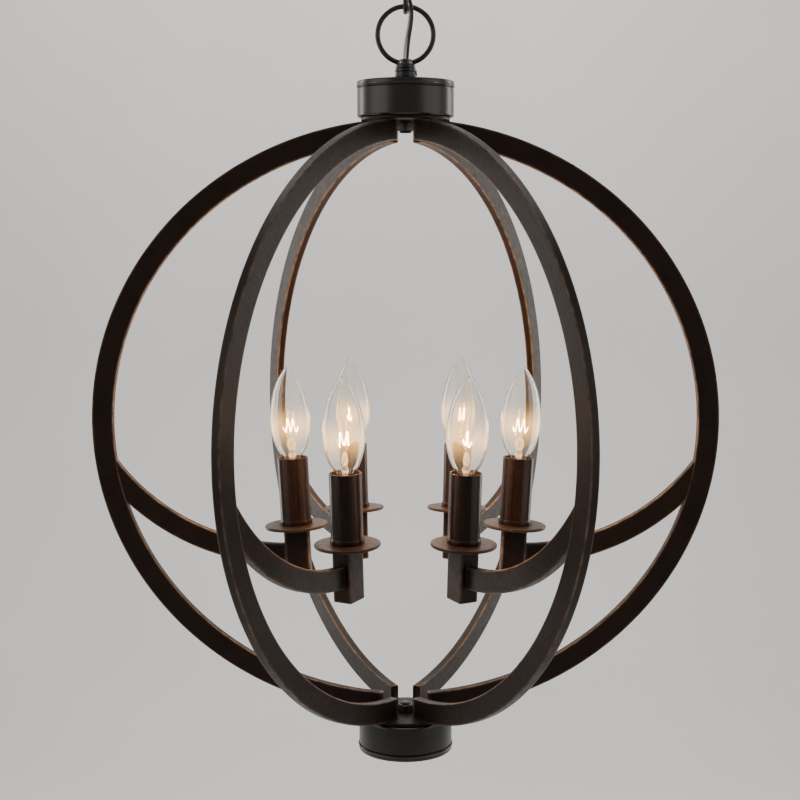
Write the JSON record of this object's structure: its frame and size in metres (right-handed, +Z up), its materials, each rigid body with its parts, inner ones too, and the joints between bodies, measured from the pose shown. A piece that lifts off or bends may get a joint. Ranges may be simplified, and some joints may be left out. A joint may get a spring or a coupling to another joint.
{
  "type": "chandelier",
  "caption": "Orb chandelier of bent box-section ribs with candle lights on inward arms, hung on a chain from a round ceiling canopy.",
  "frame": {"origin": "on the ceiling plane, midway between the two ceiling screw holes of the crossbar", "axes": "+Z up into the ceiling; +X along the crossbar and towards rib 1; the picture looks along +Y"},
  "size_m": [0.5, 0.4366, 0.7141],
  "materials": {
    "bronze_paint": "matt textured dark bronze",
    "bronze_sleeve": "satin dark bronze",
    "zinc_steel": "zinc plated",
    "white_plastic": "moulded",
    "brass_shell": "stamped",
    "lead_pvc": "extruded",
    "clear_glass": "clear",
    "nickel_cap": "nickel plated"
  },
  "bodies": {
    "ceiling_fitting": {"ceiling_bracket": "zinc_steel", "bracket_nut": "zinc_steel", "canopy": "bronze_paint", "canopy_nipple": "zinc_steel", "canopy_collar": "bronze_paint", "canopy_loop": "bronze_paint", "supply_lead_canopy": "lead_pvc"},
    "upper_link": {"chain_link_1": "bronze_paint", "supply_lead_link_1": "lead_pvc"},
    "lower_link": {"chain_link_2": "bronze_paint", "supply_lead_link_2": "lead_pvc"},
    "chandelier": {"hang_loop": "bronze_paint", "loop_collar": "bronze_paint", "loop_screw": "zinc_steel", "stem_nipple": "zinc_steel", "stem_washer": "zinc_steel", "stem_nut": "zinc_steel", "hub_cup": "bronze_paint", "hub_lid": "bronze_paint", "top_plate": "bronze_paint", "top_screws": "zinc_steel", "terminal_block": "white_plastic", "rib_1": "bronze_paint", "rib_2": "bronze_paint", "rib_3": "bronze_paint", "rib_4": "bronze_paint", "rib_5": "bronze_paint", "rib_6": "bronze_paint", "arm_1": "bronze_paint", "arm_2": "bronze_paint", "arm_3": "bronze_paint", "arm_4": "bronze_paint", "arm_5": "bronze_paint", "arm_6": "bronze_paint", "bottom_plate": "bronze_paint", "bottom_screws": "zinc_steel", "bottom_cup": "bronze_paint", "bottom_lid": "bronze_paint", "bottom_stud": "bronze_paint", "bottom_nut": "zinc_steel", "candle_posts": "bronze_paint", "candle_nipples": "zinc_steel", "drip_plates": "bronze_paint", "lamp_sockets": "white_plastic", "socket_shells": "brass_shell", "candle_sleeves": "bronze_sleeve", "branch_leads": "lead_pvc", "supply_lead_loop": "lead_pvc"},
    "bulb_1": {"bulb_glass_1": "clear_glass", "bulb_base_1": "nickel_cap"},
    "bulb_2": {"bulb_glass_2": "clear_glass", "bulb_base_2": "nickel_cap"},
    "bulb_3": {"bulb_glass_3": "clear_glass", "bulb_base_3": "nickel_cap"},
    "bulb_4": {"bulb_glass_4": "clear_glass", "bulb_base_4": "nickel_cap"},
    "bulb_5": {"bulb_glass_5": "clear_glass", "bulb_base_5": "nickel_cap"},
    "bulb_6": {"bulb_glass_6": "clear_glass", "bulb_base_6": "nickel_cap"}
  },
  "joints": [
    {"name": "upper_link_swing", "type": "hinge", "parent": "ceiling_fitting", "child": "upper_link", "pos_m": [0, 0, -0.0662], "axis": [0, 1, 0], "range_deg": [-25, 25], "deforming": ["supply_lead_canopy", "supply_lead_link_1"]},
    {"name": "lower_link_swing", "type": "hinge", "parent": "upper_link", "child": "lower_link", "pos_m": [0, 0, -0.0959], "axis": [1, 0, 0], "range_deg": [-25, 25], "deforming": ["supply_lead_link_1", "supply_lead_link_2"]},
    {"name": "chandelier_swing", "type": "hinge", "parent": "lower_link", "child": "chandelier", "pos_m": [0, 0, -0.1256], "axis": [0, 1, 0], "range_deg": [-25, 25], "deforming": ["supply_lead_link_2", "supply_lead_loop"]},
    {"name": "bulb_1_out", "type": "slide", "parent": "chandelier", "child": "bulb_1", "axis": [0.0523, 0, 0.9986], "range_m": [0, 0.02]},
    {"name": "bulb_2_out", "type": "slide", "parent": "chandelier", "child": "bulb_2", "axis": [0.0262, 0.0453, 0.9986], "range_m": [0, 0.02]},
    {"name": "bulb_3_out", "type": "slide", "parent": "chandelier", "child": "bulb_3", "axis": [-0.0262, 0.0453, 0.9986], "range_m": [0, 0.02]},
    {"name": "bulb_4_out", "type": "slide", "parent": "chandelier", "child": "bulb_4", "axis": [-0.0523, 0, 0.9986], "range_m": [0, 0.02]},
    {"name": "bulb_5_out", "type": "slide", "parent": "chandelier", "child": "bulb_5", "axis": [-0.0262, -0.0453, 0.9986], "range_m": [0, 0.02]},
    {"name": "bulb_6_out", "type": "slide", "parent": "chandelier", "child": "bulb_6", "axis": [0.0262, -0.0453, 0.9986], "range_m": [0, 0.02]}
  ]
}
